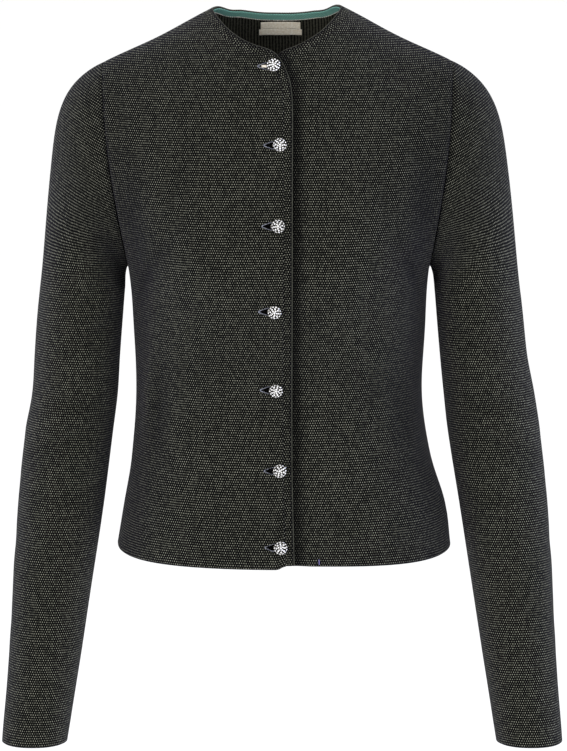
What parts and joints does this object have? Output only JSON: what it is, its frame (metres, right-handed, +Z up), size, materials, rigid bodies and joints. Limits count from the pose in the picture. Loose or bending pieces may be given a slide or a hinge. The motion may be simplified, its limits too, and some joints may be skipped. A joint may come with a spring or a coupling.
{
  "type": "trachten cardigan",
  "caption": "Hollow worn form of a close-fitting long-sleeved knitted cardigan in the Alpine style: round neck, narrow rolled bands, straight hem, closed down the front on domed metal buttons.",
  "frame": {"origin": "the middle of the neck opening, level with the neck ends of the shoulder seams, where the wearer's shoulders hold the garment", "axes": "+Z up, -Y to the front, where the buttons are, +X to the wearer's left"},
  "size_m": [0.5398, 0.2291, 0.7049],
  "materials": {
    "knit": "charcoal moss-stitch wool knit, matt, with a soft fuzz",
    "band": "charcoal knitted band with a rolled edge, matt",
    "tape": "sea-green woven tape, a little lustrous",
    "label": "cream woven satin label, blank",
    "button": "antiqued silver-coloured cast metal, bright on the relief and dark in the hollows"
  },
  "bodies": {
    "root": {"right_front": "knit", "left_front": "knit", "back": "knit", "right_sleeve": "knit", "left_sleeve": "knit", "right_band": "band", "left_band": "band", "back_band": "band", "neck_tape": "tape", "label_upper": "label", "label_lower": "label", "button_1": "button", "button_2": "button", "button_3": "button", "button_4": "button", "button_5": "button", "button_6": "button", "button_7": "button"}
  },
  "joints": []
}
